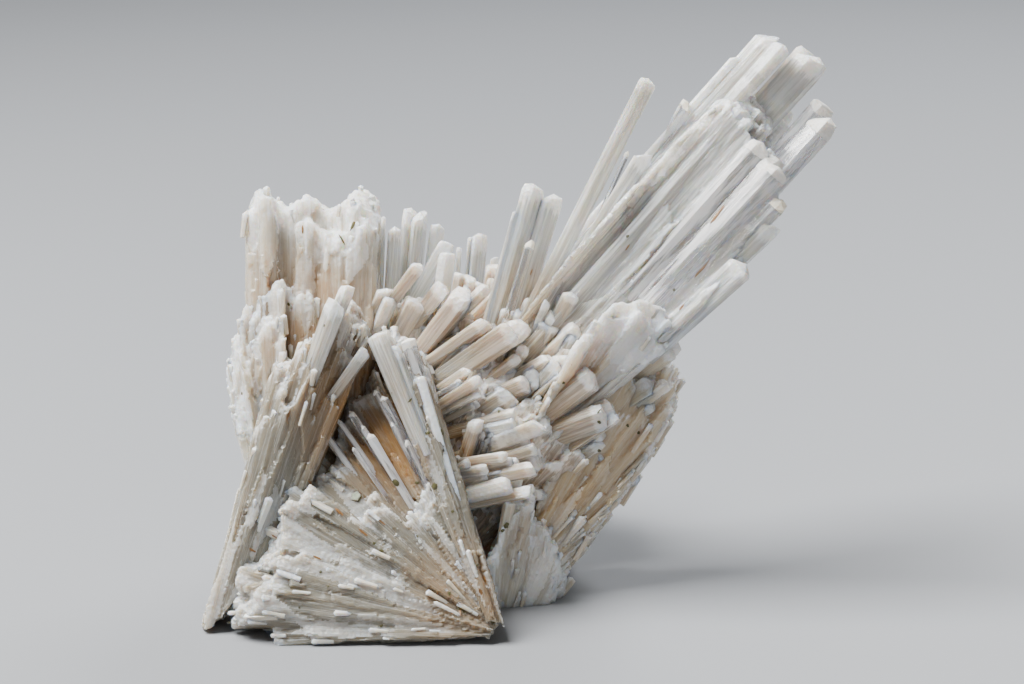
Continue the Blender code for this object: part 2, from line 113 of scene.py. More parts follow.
# Sprays. tips: rows of points on the sheet of tips, from the front row to the back. A spray with
# one row is deep mm thick. spread: the root's size as a share of the tips'. start: where the
# columns begin, from root to tip. column, facet, block, patch: how wide a column, a facet of the
# side, a block of ends and a patch are, mm. ragged: how far the blocks' ends differ. peel: how
# much of the outer layers ended early. ledges: from and to along a row, front rows only or not,
# and how high the columns there may reach. face: the size of the skin's small faces, mm. rods:
# short rods on the ends and on the sides, for each square centimetre. HABIT holds the usual
# values, and a spray gives only those that differ.
HABIT = {
    "start": 0, "column": 0.8, "facet": 3.0, "block": 3.2, "patch": 2.4, "ragged": 0.07, "peel": 0.6,
    "face": 0.34, "rods": (25, 1), "ledges": [],
}
SPRAYS = {
    "front_fan": {
        "root": (-4, 1, -12),
        "tips": [[(-43.5, -2, -14), (-44, 3.5, -12.5), (-42, 9, -12), (-39, 14, -11), (-36, 19, -10),
                  (-32.5, 23.5, -9), (-29, 27.5, -7), (-25, 33, -4), (-22, 40, -4)]],
        "deep": 14, "spread": 0.05, "facet": 5.0, "block": 3.5, "patch": 2.6, "ragged": 0.10,
        "peel": 0.9,
        "ledges": [(0, 0.08, False, 0.77), (0.62, 0.76, True, 0.68), (0.76, 1, True, 0.50)],
    },
    "front_ridge": {
        "root": (-4, 2, -10),
        "tips": [[(-21.5, 42, -7), (-19.5, 44, -7), (-18, 43, -7), (-16, 42, -6.5), (-14.5, 41, -6)]],
        "deep": 14, "spread": 0.35, "column": 0.6, "facet": 2.0, "block": 2.2, "patch": 1.8,
        "ragged": 0.09, "peel": 0.8, "face": 0.32,
    },
    "left_bundle": {
        "root": (-41, 3.5, -4),
        "tips": [[(-34.5, 40, -8), (-32, 41.5, -8.5), (-29.5, 43, -8.5), (-26, 48, -8),
                  (-24, 47.5, -7), (-21, 43, -5)]],
        "deep": 12, "spread": 0.6, "facet": 3.5, "patch": 2.2, "ragged": 0.08, "peel": 0.75,
        "rods": (25, 0.8), "ledges": [(0.42, 0.50, False, 0.86)],
    },
    "back_left": {
        "root": (-30.5, -2, 9),
        "tips": [[(-39, 60.5, 3), (-37.5, 63, 3), (-35, 63, 3), (-33, 61, 3), (-30.5, 62.5, 3),
                  (-28, 60.5, 3), (-25.5, 62, 3), (-23, 63, 3), (-20, 61, 3)]],
        "deep": 15, "spread": 0.75, "facet": 4.0, "block": 4.2, "ragged": 0.05, "peel": 0.5,
        "face": 0.36, "rods": (20, 0.5),
    },
    "left_flank": {
        "root": (-33.5, 4.5, 5),
        "tips": [[(-33.5, 50.5, -1), (-36.5, 49, 0), (-39, 47, 1), (-40.5, 43, 1), (-41.5, 38.5, 2),
                  (-41.5, 34, 3)]],
        "deep": 11, "spread": 0.12, "start": 0.05, "block": 3.0, "patch": 2.0, "face": 0.36,
        "rods": (30, 1),
    },
    "tall_spray": {
        "root": (1, 35.5, 6),
        "tips": [[(10, 57.5, -1), (18, 66, -1), (26, 74.5, -1), (31, 77.5, -1), (36, 73.5, -2),
                  (38, 67, -2), (36, 60, -3), (30, 52, -4), (23.5, 44.5, -3)]],
        "deep": 12, "spread": 0.7, "start": -0.25, "column": 1.3, "facet": 6.0, "block": 5.0,
        "patch": 4.5, "ragged": 0.12, "peel": 0.3, "face": 0.36, "rods": (5, 0.3),
    },
    "white_blade": {
        "root": (4, 30, 1),
        "tips": [[(7.5, 41.5, -6), (10, 44.5, -6.5), (13.5, 47.5, -6.5), (17, 48, -6), (20.5, 47, -5.5),
                  (23, 43, -4)]],
        "deep": 5, "spread": 0.4, "facet": 4.0, "block": 3.0, "peel": 0.5, "face": 0.32,
    },
    "middle": {
        "root": (-17.5, 5, 16),
        "tips": [[(-7.5, 17, 3), (-3.5, 17, 1), (2, 18, 1.5), (8.5, 20, 4)],
                 [(-10.5, 26, 2), (-5, 26, -1), (3, 26, -1), (11, 26, 1)],
                 [(-13, 33, 1), (-6, 34, -1.5), (2, 34, -2), (12.5, 33, -1)],
                 [(-16, 40, 2), (-7.5, 41, 0), (1, 41, -1), (11, 40, -1)],
                 [(-18, 48.5, 5), (-9, 49, 3.5), (-0.5, 48, 2), (10, 47, 1.5)]],
        "spread": 0.25, "start": 0.1, "column": 1.2, "ragged": 0.13, "peel": 0.3, "rods": (14, 0.5),
    },
    "lower_middle": {
        "root": (-3, 0, 5),
        "tips": [[(-6, 9, -4), (-4, 15, -4), (-1.5, 20.5, -4.5), (2, 21, -3.5), (4.5, 17, -1), (6, 12, 1),
                  (6.5, 7, 3)]],
        "deep": 8, "spread": 0.3, "column": 1.0, "block": 2.6, "patch": 2.2, "ragged": 0.14,
        "rods": (40, 2),
    },
    "right_fan": {
        "root": (-3.5, 3.5, 5),
        "tips": [[(12, 43, -1), (18, 42, 0), (22.5, 38, 2), (22, 33, 3), (19, 27, 4), (15, 21, 4.5),
                  (10.5, 15.5, 5), (6.5, 11, 6), (4.5, 6.5, 7)]],
        "deep": 14, "spread": 0.10, "facet": 3.5, "block": 1.8, "patch": 2.6, "peel": 0.45,
        "face": 0.36, "rods": (40, 2.5),
    },
    "behind": {
        "root": (-14.5, 1, 12),
        "tips": [[(-36.5, 47, 20), (-26, 48.5, 26), (-13, 47, 29), (-0.5, 45.5, 27), (12, 41, 20)],
                 [(-39, 33, 22), (-27, 34.5, 32), (-13, 34.5, 35), (1, 33, 32), (16, 29, 21)],
                 [(-38, 20.5, 22), (-27, 22, 34), (-13, 22, 38), (1, 22, 34), (12, 20.5, 22)],
                 [(-35.5, 6.5, 20), (-27, 6.5, 32), (-13, 6.5, 36), (-0.5, 8, 32), (8, 12, 20)]],
        "spread": 0.12, "start": 0.1, "column": 1.6, "facet": 3.5, "block": 3.8, "patch": 2.8,
        "ragged": 0.14, "peel": 0.3, "face": 0.42, "rods": (12, 0.4),
    },
}

# Single crystals, in groups. A group: how far a crystal's root lies behind its tip, as a share of
# its length; how many smaller crystals grow next to each; and the crystals. A crystal: its tip; how
# far it leans to the right of upright, degrees; its length, width and thickness.
CRYSTALS = {
    "crest": (0.05, 0, [
        ((-15, 58.5, 14), 5, 34, 4.2, 4.0), ((-12, 56.5, 15), 8, 33, 1.7, 2.6),
        ((-11, 54.5, 10), 30, 27, 1.2, 2.0), ((-10.5, 52.5, 8), 8, 25, 2.2, 2.5),
        ((-9, 54, 15), 3, 29, 0.8, 1.2), ((-7.5, 55.5, 15), 4, 31, 0.8, 1.2),
        ((-6, 55, 16), 6, 32, 3.0, 3.0), ((-4, 52.5, 15), 10, 29, 1.1, 1.6),
        ((-18, 56.5, 8), 4, 32, 2.2, 3.0), ((-19.5, 58.5, 6), 2, 30, 0.7, 0.9),
        ((1.5, 62, 3), 16, 26, 2.5, 3.0), ((4, 60.5, 4), 16, 25, 2.8, 3.0),
        ((-0.5, 59, 3), 16, 24, 1.4, 2.0),
    ]),
    "tall": (0.05, 0, [
        ((17.1, 77.3, 1), 27, 50, 2.5, 2.3), ((16.8, 66.5, 0), 32, 32, 2.2, 2.4),
        ((35, 83.2, 3), 42, 52, 6.6, 4.4), ((29.3, 80.5, 3), 42, 36, 1.0, 1.0),
        ((40.2, 80.6, 6), 42, 52, 5.2, 4.0), ((30.5, 73, 0.5), 42, 46, 5.6, 3.6),
        ((30.5, 78, 9), 38, 45, 4.2, 4.0), ((36, 73.5, 10), 41, 45, 4.8, 4.0),
    ]),
    "low_right": (0.22, 0, [
        ((30, 51.5, -4), 47, 18, 3.0, 3.0), ((24.5, 46.5, -3), 48, 14, 2.6, 2.4),
        ((34, 56.5, -3), 46, 18, 2.8, 2.4),
    ]),
    "centre": (0.40, 4, [
        ((-1.5, 42.5, -2), 56, 16, 5.2, 3.0), ((-9, 47, 0), 38, 14, 5.4, 2.8),
        ((-15.5, 46.5, 2), 28, 12, 3.0, 2.6), ((-4, 51, 6), 8, 14, 3.4, 3.0),
        ((-8, 50, 7), 8, 12, 2.2, 2.4), ((-4.5, 49.5, 5), 15, 13, 1.3, 1.4),
        ((1, 46.5, 3), 30, 14, 2.1, 2.0), ((4, 49, 4), 29, 16, 2.4, 2.2),
        ((6.5, 47.5, 0), 29, 22, 1.8, 2.0), ((3.5, 44, 1), 27, 16, 5.0, 2.8),
        ((7, 42.5, 0), 50, 10, 2.5, 2.2), ((9.5, 41, 2), 32, 14, 5.6, 3.4),
        ((5, 38, -1), 38, 12, 4.2, 2.6), ((9, 36, -3), 52, 18, 4.2, 3.0),
        ((10.5, 31, -1), 69, 22, 5.2, 3.2), ((10, 28.5, 1), 60, 10, 2.8, 2.8),
        ((1.5, 29, -4), 69, 12, 2.1, 2.2), ((-0.5, 29, -2), 55, 10, 2.5, 2.2),
        ((-7, 29.5, -2), 18, 10, 2.0, 2.0), ((-5, 29, -1), 25, 10, 1.4, 1.4),
        ((1.5, 24.5, -1), 75, 14, 3.8, 2.6), ((0.5, 23, -5), 79, 14, 2.1, 2.0),
        ((-3, 21, -5), 76, 10, 1.8, 2.0), ((-8, 24, -4), 60, 6, 1.3, 1.4),
        ((-6.5, 39.5, 0), 58, 12, 3.4, 2.4), ((-7, 35.5, -3), 58, 8, 1.6, 1.4),
        ((-6.5, 34, -2), 63, 8, 1.5, 1.4), ((-2.5, 33.5, 0), 56, 12, 4.6, 2.8),
        ((1.5, 36, 0), 47, 12, 4.6, 2.8), ((-3.5, 47, 4), 45, 14, 4.0, 3.0),
    ]),
    "right": (0.45, 1, [
        ((20, 40, 0), 53, 15, 4.5, 3.0), ((17.5, 35, 1), 57, 13, 3.6, 2.6),
        ((15.5, 22, 7), 50, 8, 1.1, 1.2), ((5.5, 5.5, 10), 95, 10, 2.0, 3.0),
        ((0.5, 4, 4), 130, 6, 1.7, 2.4),
    ]),
    "left_tips": (0.14, 0, [
        ((-22.4, 39.6, -6.5), 36, 12, 1.6, 1.5), ((-24.8, 48, -7.8), 22, 18, 2.8, 2.0),
        ((-26.5, 45.5, -8.4), 20, 12, 3.4, 2.0),
    ]),
    "ridge": (-0.08, 0, [
        ((-20.2, 42, -7), -22, 18, 3.6, 2.4), ((-17.8, 39.6, -7.5), -20, 20, 2.0, 1.8),
        ((-14.6, 36, -8), -17, 20, 1.6, 1.6),
    ]),
    "behind": (-0.35, 2, [
        ((-31.5, 43, 26), -23, 36, 4.2, 4.0), ((-23, 44, 30), -12, 36, 4.8, 4.5),
        ((-10.5, 44.5, 33), 5, 36, 4.0, 4.5), ((2, 43, 32), 22, 36, 4.2, 4.5),
        ((10.5, 33, 28), 40, 32, 3.6, 4.0),
    ]),
    "low_behind": (-0.8, 1, [
        ((4, 25, 37), 38, 15, 3.4, 4.0), ((-20, 30, 39), -12, 16, 4.0, 4.5),
        ((-31, 22, 33.5), -40, 13, 3.4, 4.0), ((-8, 18.5, 39.5), 20, 12, 3.6, 4.0),
    ]),
}

# More groups: clear prisms, pale blades that are partly clear, and needles in the cavity above the
# front fan
CLEAR = (0.15, 0, [
    ((23, 74.8, 3), 29, 35, 2.2, 2.0), ((14.6, 68, 1), 24, 26, 0.7, 0.8),
    ((36, 60.8, -4), 45, 26, 3.0, 2.8), ((1, 55.5, 0), 17, 18, 1.4, 1.4),
])
PALE = (0.10, 0, [
    ((43, 73, 2.5), 42, 44, 6.8, 3.6), ((35, 65.3, -3), 43, 26, 4.2, 3.2),
    ((33, 68.3, -2), 42, 28, 3.2, 3.0), ((-16, 41.4, -7.5), -17.5, 14, 2.2, 1.8),
])
NEEDLES = (-0.05, 0, [
    ((-28, 28.5, -3.2), -36, 12, 1.2, 1.2), ((-26.2, 30.5, -2.8), -35, 14, 0.8, 0.8),
    ((-24.5, 31.5, -3.2), -33, 15, 1.3, 1.2), ((-22.8, 29.5, -4), -32, 12, 0.9, 0.9),
    ((-21.8, 28.4, -4.8), -31, 13, 1.6, 1.4), ((-21, 34.5, -3), -29, 18, 1.0, 1.0),
    ((-19.9, 33.7, -4), -28, 16, 1.4, 1.3), ((-18.6, 30, -4.6), -27, 13, 0.9, 0.9),
    ((-17.6, 32.6, -4.8), -24, 16, 1.2, 1.2), ((-16.6, 27.5, -5.8), -24, 11, 1.0, 1.0),
    ((-24, 26.5, -4.6), -34, 10, 0.7, 0.8),
])

# Where the crystal is stained amber in its recesses, partly a real stain and partly painted shade: place, how
# far it reaches, how strongly
STAINS_AND_SHADE = [
    ((-30, 44, 2), 15, 0.8), ((-22, 32, 0), 15, 1.0), ((-18, 26, -4), 9, 1.0), ((-17, 22, -5), 7, 0.5),
    ((-9, 6, -12), 10, 0.5), ((-3, 44, 2), 12, 0.75), ((2, 37, 1), 14, 0.85), ((8, 39, 0), 7, 1.0),
    ((4, 21, 5), 14, 0.9), ((-9, 26, 1), 8, 0.9), ((-36, 3, -7), 7, 0.4), ((14, 28, 4), 15, 0.6),
    ((-38, 44, 2), 8, 0.3),
]

# Grains on the surface, by where the front view sees them: across, up, size
OLIVE_GRAINS = [
    (-18, 21.5, 0.8), (-13.5, 28.5, 0.6), (-11.5, 28.5, 0.7), (-12.5, 21, 0.8), (-10, 17.5, 0.4),
    (-2.5, 15.5, 0.7), (-40.5, 13.5, 0.3), (-36.5, 10, 0.4), (-28.5, 9, 0.4), (-27.5, 7, 0.3),
    (-20, 12, 0.5), (-21, 13, 0.4), (-15, 14, 0.4), (-31.5, 4, 0.3), (-20, 1.5, 0.4),
    (-6.5, 10, 0.4), (-4.5, 2, 0.5), (10.5, 30, 0.5), (10.5, 26, 0.5), (16, 28.5, 0.4),
    (14.5, 29.5, 0.4), (21, 48.5, 0.4), (14.5, 56, 0.4), (5.5, 35.5, 0.4), (-3.5, 31.5, 0.4),
    (-12, 41, 0.3), (-39.5, 34, 0.4), (-33, 46.5, 0.4), (-28, 43.5, 0.3), (2.5, 33.5, 0.4),
    (-9, 4, 0.7), (-10.5, 6, 0.5), (-15, 21.5, 0.5), (-13, 20.5, 0.4), (-3, 14.8, 0.5),
]
# Streaks along the crystals: across, up, length, how far it leans to the right of upright
OLIVE_STREAKS = [(-24, 57.5, 2.4, 20), (-25.5, 55.5, 1.6, -25), (-27.5, 23, 1.4, 70), (10.5, 31.5, 1.0, 40),
                 (-8.5, 3.5, 1.6, -10), (-16, 33, 1.0, 50)]
RUST_STREAKS = [
    (-31, 57, 1.2, 0), (-28.5, 32.5, 1.6, 25), (-6, 6, 1.8, -30), (-9, 3.5, 1.4, -10),
    (27, 59, 3.2, 38), (25, 51.5, 3.4, 42), (14.5, 54.5, 1.0, 30), (-30, 21.5, 1.8, -50),
    (-26, 17.5, 1.8, -45), (-33, 31, 1.2, 20), (-22.5, 14.5, 1.6, -50), (22, 46, 1.4, 40),
    (4.5, 42, 0.9, 30), (1, 51, 1.0, 20), (-38, 12, 1.2, -60), (-8.5, 26, 1.0, -20),
    (-5.5, 8, 1.2, -20), (-20, 16, 1.2, -50), (-29, 11, 1.4, -70), (-35, 14, 1.0, -60),
]
GREEN_PLATE = (-23.5, 19.5)       # a small greenish crystal with a dark rim lies here
GREEN_SIZE = 1.6                  # mm
GRAIN_SUNK = 0.3                  # how deep a grain sits, as a share of its thickness
GRAIN_FLAT = 0.35                 # a grain's thickness, as a share of its width
GRAIN_LENGTH = 1.3                # a grain's length, in widths

# Colours, as linear red, green and blue
WHITE, COOL_WHITE, WARM_WHITE = (0.82, 0.83, 0.83), (0.82, 0.83, 0.84), (0.80, 0.78, 0.76)
# TAN, AMBER and BROWN colour the recesses: partly real stain, partly painted shade
TAN, AMBER, BROWN = (0.50, 0.35, 0.19), (0.56, 0.37, 0.20), (0.32, 0.18, 0.07)
OLIVE, DARK_OLIVE = (0.13, 0.12, 0.05), (0.10, 0.09, 0.03)
RUST, GREEN = (0.30, 0.14, 0.04), (0.24, 0.30, 0.18)
FLOOR = (0.26, 0.27, 0.29)
STUDIO = (0.57, 0.57, 0.58)
CRYSTAL_IOR = 1.51                # how strongly scolecite bends light
CLEAR_SOFT = 1.5                  # how far light wanders in the milk of a clear crystal, mm

# The looks of milky crystal, as in milky(): tip, body, deep, frost_deep, patchy, see_through,
# rough_face, soft
MILKY = {
    "white": (WHITE, (0.63, 0.60, 0.53), BROWN, 3.0, 0.35, 0.0, 0.22, 4.0),
    # front is the white look darkened, with grey ends, as painted shade
    "front": ((0.55, 0.55, 0.54), (0.25, 0.235, 0.195), BROWN, 2.2, 0.28, 0.0, 0.20, 4.0),
    "crust": (WHITE, (0.62, 0.58, 0.51), TAN, 1.0, 0.35, 0.0, 0.20, 1.2),
    "cool": (COOL_WHITE, (0.88, 0.885, 0.865), (0.64, 0.50, 0.36), 1.6, 0.22, 0.50, 0.08, 2.5),
    "frosted": (COOL_WHITE, (0.74, 0.75, 0.74), TAN, 7.0, 0.6, 0.0, 0.22, 4.0),
    "peach": (WARM_WHITE, (0.89, 0.78, 0.68), AMBER, 0.8, 0.15, 0.50, 0.08, 2.2),
    "cream": (WARM_WHITE, (0.64, 0.57, 0.46), TAN, 1.5, 0.25, 0.0, 0.20, 4.0),
}
# The looks of clear crystal, as in clear_material(): body, cap, cap_deep, veils
CLEAR_LOOK = ((0.97, 0.97, 0.97), (0.80, 0.74, 0.62), 1.2, 0.15)
PALE_LOOK = ((0.93, 0.92, 0.94), (0.84, 0.82, 0.78), 1.0, 0.6)
# Which milky look a spray or a group of crystals has; the others are white. front is painted shade: it
# darkens the front fan, the front ridge and the left bundle
LOOKS = {"white_blade": "frosted", "tall_spray": "cool", "tall": "cool", "crest": "cool", "middle": "peach",
         "centre": "peach", "ridge": "cool", "low_right": "cool", "left_tips": "cool", "front_fan": "front",
         "front_ridge": "front", "left_bundle": "front", "right_fan": "cream", "right": "cream"}

# Soft lights: name, size in metres, power in watts, place, colour
LIGHTS = [
    ("key", 0.36, 15, (-0.30, -0.04, 0.56), (1, 0.99, 0.96)),
    ("fill", 0.6, 0.8, (0.3, -0.6, 0.25), (1, 0.98, 0.95)),
    ("back", 0.3, 4, (0.25, 0.5, 0.45), (0.96, 0.98, 1)),
]
LIT_POINT = (0, 0, 0.035)         # the lights point here
STUDIO_LIGHT = 0.26               # how bright the surroundings are
FLOOR_REACH = 3                   # how far the floor reaches from the middle, m

# Seeds of the random draws: the first of the groups of crystals, the first of the three groups
# after them, and that of the grains. The sprays count from 1.
CRYSTAL_SEED, CLEAR_SEED, GRAIN_SEED = 100, 200, 300


def in_model(point):
    """A point of the front view's layout, in the frame's metres."""
    across, up, back = point
    scale = 1 + back / VIEW_DISTANCE
    across = SIGHT_ACROSS + (across - SIGHT_ACROSS) * scale
    up = SIGHT_UP + (up - SIGHT_UP) * scale
    y = back * math.cos(VIEW_TILT) + up * math.sin(VIEW_TILT)
    z = up * math.cos(VIEW_TILT) - back * math.sin(VIEW_TILT) - GROUND_BELOW
    return np.array((across - MIDDLE_X, y - MIDDLE_Y, z)) * MM


def unit(vectors):
    return vectors / np.linalg.norm(vectors, axis=-1, keepdims=True)


def smooth(values, low, high):
    share = np.clip((values - low) / (high - low), 0, 1)
    return share * share * (3 - 2 * share)


class Cells:
    """The uneven cells of space that a set of places lies in: each one's number and middle."""

    def __init__(self, places, seed):
        corner = np.floor(places).astype(np.int64)
        nearest = np.full(len(places), np.inf)
        self.number = np.zeros(len(places), np.uint32)
        self.gap = np.zeros_like(places)
        for step in itertools.product((-1, 0, 1), repeat=3):
            at = corner + step
            mixed = at[:, 0] * 73856093 ^ at[:, 1] * 19349663 ^ at[:, 2] * 83492791 ^ seed * 2654435761
            number = (mixed & 0xFFFFFFFF).astype(np.uint32)
            gap = places - at - np.column_stack([self.draw(number, k) for k in (11, 12, 13)])
            squared = (gap ** 2).sum(1)
            closer = squared < nearest
            nearest[closer] = squared[closer]
            self.number[closer] = number[closer]
            self.gap[closer] = gap[closer]
        self.off_middle = np.sqrt(nearest)

    @staticmethod
    def draw(number, k):
        """A random share, the same one each time for a number and k."""
        mixed = number + np.uint32(k * 0x9E3779B9 & 0xFFFFFFFF)
        for shift, factor in ((16, 0x7FEB352D), (15, 0x846CA68B)):
            mixed = (mixed ^ (mixed >> np.uint32(shift))) * np.uint32(factor)
        return (mixed ^ (mixed >> np.uint32(16))) / 2 ** 32

    def chance(self, k):
        return self.draw(self.number, k)


class Stretches:
    """Uneven stretches side by side along a length, numbered from its start."""

    def __init__(self, length, size, rng):
        self.count = max(2, round(length / size))
        ends = np.cumsum(rng.lognormal(0, 0.5, self.count))
        self.ends = ends / ends[-1]
        self.middles = (self.ends + np.append(0, self.ends[:-1])) / 2

    def at(self, a):
        return np.searchsorted(self.ends, a).clip(0, self.count - 1)


def facets(a, length, size, rng):
    """How far the facets of a spray's side stand out at places along it, mm."""
    stretches = Stretches(length, size, rng)
    out = rng.uniform(0, FACET_RELIEF, stretches.count)
    tilt = rng.uniform(-FACET_TILT, FACET_TILT, stretches.count)
    k = stretches.at(a)
    return out[k] + tilt[k] * (a - stretches.middles[k]) * length


class Blocks:
    """Columns that grew as blocks: each one's block and its place in it."""

    def __init__(self, middles, size, block, rng):
        self.count = max(3, round(size[0] * size[1] / block ** 2))
        seeds = rng.random((self.count, 2))
        gap = (middles[:, None] - seeds[None]) * size[:2]
        squared = (gap ** 2).sum(2)
        self.of = squared.argmin(1)
        self.gap = gap[np.arange(len(middles)), self.of]
        self.off_middle = np.sqrt(squared.min(1)) / block


def in_scene(name, data):
    """A new object of the scene, for a mesh, a light or a camera."""
    obj = bpy.data.objects.new(name, data)
    bpy.context.scene.collection.objects.link(obj)
    return obj


def to_mesh(name, bm, material):
    """A mesh of what bm holds, after which bm is no longer needed."""
    mesh = bpy.data.meshes.new(name)
    bm.to_mesh(mesh)
    bm.free()
    mesh.materials.append(material)
    return mesh


def add_piece(name, mesh):
    obj = in_scene(name, mesh)
    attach(obj, "root")
    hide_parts("scolecite")
    return obj


def mark(mesh, name, place, values):
    """Give a mesh a named attribute, a number or a vector for each of its places."""
    kind = "FLOAT_VECTOR" if values.ndim == 2 else "FLOAT"
    data = mesh.attributes.new(name, kind, place).data
    data.foreach_set("vector" if values.ndim == 2 else "value", values.astype(np.float32).ravel())


def finish_piece(name, mesh, material):
    """Cut a mesh off at the ground, keep it in the solids' box, and add it as a piece."""
    low, high = np.array(CAD_BOX)
    bm = bmesh.new()
    bm.from_mesh(mesh)
    everything = [*bm.verts, *bm.edges, *bm.faces]
    cut = bmesh.ops.bisect_plane(bm, geom=everything, plane_co=(0, 0, 0), plane_no=(0, 0, -1),
                                 clear_outer=True)
    rim = [e for e in cut["geom_cut"] if isinstance(e, bmesh.types.BMEdge)]
    bmesh.ops.holes_fill(bm, edges=rim)
    bmesh.ops.recalc_face_normals(bm, faces=bm.faces)
    for vert in bm.verts:
        vert.co = np.clip(vert.co, low, high)
    bm.to_mesh(mesh)
    bm.free()
    mesh.materials.append(material)
    return add_piece(name, mesh)


class Skin:
    """Corners and faces, and how they lie in their crystals, gathered for one mesh.

    grain: place across and along the crystal, mm. under: how far below its own end, mm.
    tone: a random number for each crystal.
    """

    def __init__(self):
        self.parts, self.faces, self.size = [], [], 0

    def add(self, points, faces, grain, under, tone):
        """grain is given for each point, under for each face's corners, tone for each face."""
        self.parts.append((points, grain, under, tone))
        self.faces += [[index + self.size for index in face] for face in faces]
        self.size += len(points)

    def to_object(self, name, material):
        points, grain, under, tone = [np.concatenate(part) for part in zip(*self.parts)]
        mesh = bpy.data.meshes.new(name)
        mesh.from_pydata(points.tolist(), [], self.faces)
        mark(mesh, "grain", "POINT", grain)
        mark(mesh, "under", "CORNER", under)
        mark(mesh, "tone", "FACE", tone)
        return finish_piece(name, mesh, material)


def honeycomb(columns, rows, lift, rng):
    """Six-cornered cells as corner numbers, and each corner's place on the unit square."""
    edges = np.cumsum(rng.lognormal(0, 0.4, 2 * columns + 2))
    edges = (edges - edges[0]) / (edges[-1] - edges[0])
    number = {}
    cells = []
    for row in range(rows):
        for column in range(columns):
            x = 2 * column + row % 2
            keys = [(x, row), (x + 1, row), (x + 2, row), (x + 2, row + 1), (x + 1, row + 1), (x, row + 1)]
            cells.append([number.setdefault(key, len(number)) for key in keys])
    places = np.empty((len(number), 2))
    for (x, y), index in number.items():
        rise = lift if (x - y) % 2 == 0 else -lift
        places[index] = edges[min(x, len(edges) - 1)], (y + rise) / rows
    places[:, 0] += rng.uniform(-0.15, 0.15, len(places)) / columns
    places[:, 1] += rng.uniform(-0.5, 0.5, len(places)) * lift / rows
    return np.array(cells), places


def on_sheet(rows, a, b):
    """Points of a sheet of tips, at a along its rows and b from the first row to the last."""
    row = b * (len(rows) - 1)
    column = a * (rows.shape[1] - 1)
    r = np.clip(row.astype(int), 0, len(rows) - 2)
    c = np.clip(column.astype(int), 0, rows.shape[1] - 2)
    s = (column - c)[:, None]
    t = (row - r)[:, None]
    near = rows[r, c] * (1 - s) + rows[r, c + 1] * s
    far = rows[r + 1, c] * (1 - s) + rows[r + 1, c + 1] * s
    return near * (1 - t) + far * t


def grow_columns(base, tip, cells, heights, start, rng, bevel=0.0):
    """Columns side by side that share their walls, each as long as its own height says.

    Each has a low point, and with a bevel it narrows by this share before its point. Returns the
    points, each one's corner of the honeycomb and height, the faces, each face's column, and how
    far below the column's end each corner of a face is, as a share of the whole length.
    """
    heights = np.round(heights, 4)
    levels = [{start} for _ in base]
    beside = {}
    for index, cell in enumerate(cells):
        for k, following in zip(cell, np.roll(cell, -1)):
            levels[k].add(heights[index])
            beside[k, following] = index
    made = {}
    faces, owners, under = [], [], []

    def vertex(k, height):
        return made.setdefault((k, height), len(made))

    def climb(k, low, high):
        return [h for h in sorted(levels[k]) if low <= h <= high]

    def face(index, corners):
        faces.append([vertex(k, h) for k, h in corners])
        owners.append(index)
        under.extend(heights[index] - h for _, h in corners)

    for index, cell in enumerate(cells):
        top = heights[index]
        face(index, [(k, start) for k in cell[::-1]])
        for k, following in zip(cell, np.roll(cell, -1)):
            other = beside.get((following, k))
            low = start if other is None else heights[other]
            if low < top:
                up = [(following, h) for h in climb(following, low, top)]
                face(index, up + [(k, h) for h in climb(k, low, top)[::-1]])
    rims = np.array([[vertex(k, heights[index]) for k in cell] for index, cell in enumerate(cells)])
    corner = np.array([k for k, _ in made])
    height = np.array([h for _, h in made])
    points = base[corner] + (tip - base)[corner] * height[:, None]
    axis = unit((tip - base)[cells].mean(1))

    def narrowed(share):
        off = points[rims] - points[rims].mean(1)[:, None]
        girth = np.linalg.norm(off, axis=2).mean(1)[:, None]
        lean = unit(rng.normal(size=(len(rims), 1, 3)))
        slant = ((off * lean).sum(2) + girth) * rng.uniform(0, SLANT_END, girth.shape)
        rise = girth * share * rng.uniform(0.6, 1.4, girth.shape) + slant
        return points[rims] - off * share + axis[:, None] * rise[..., None]

    if bevel:
        upper = len(points) + np.arange(rims.size).reshape(rims.shape)
        points = np.concatenate([points, narrowed(bevel).reshape(-1, 3)])
        for index, (low, high) in enumerate(zip(rims, upper)):
            for k in range(6):
                faces.append([low[k], low[(k + 1) % 6], high[(k + 1) % 6], high[k]])
                owners.append(index)
                under.extend((0, 0, 0, 0))
        corner = np.concatenate([corner, corner[rims].ravel()])
        height = np.concatenate([height, height[rims].ravel()])
        rims = upper
    pull = rng.uniform(0.3, 1.7, rims.shape)[..., None]
    centre = (points[rims] * pull).sum(1) / pull.sum(1)
    girth = np.linalg.norm(points[rims] - centre[:, None], axis=2).mean(1)
    apex = centre + axis * (girth * rng.uniform(0.1, 0.5, len(rims)))[:, None]
    for index, rim in enumerate(rims):
        for v, following in zip(rim, np.roll(rim, -1)):
            faces.append([v, following, len(points) + index])
            owners.append(index)
            under.extend((0, 0, 0))
    corner = np.concatenate([corner, corner[rims[:, 0]]])
    height = np.concatenate([height, heights])
    points = np.concatenate([points, apex])
    return points, corner, height, faces, np.array(owners), np.array(under)


def even_skin(points, faces, size):
    """The outer skin of a closed mesh, in even faces of a size in mm."""
    mesh = bpy.data.meshes.new("columns")
    mesh.from_pydata(points.tolist(), [], faces)
    obj = in_scene("columns", mesh)
    modifier = obj.modifiers.new("even_faces", "REMESH")
    modifier.mode = "VOXEL"
    modifier.voxel_size = size * MM
    modifier = obj.modifiers.new("less_stepped", "SMOOTH")
    modifier.factor = 0.5
    modifier.iterations = 2
    graph = bpy.context.evaluated_depsgraph_get()
    skin = bpy.data.meshes.new_from_object(obj.evaluated_get(graph))
    bpy.data.objects.remove(obj)
    bpy.data.meshes.remove(mesh)
    return skin


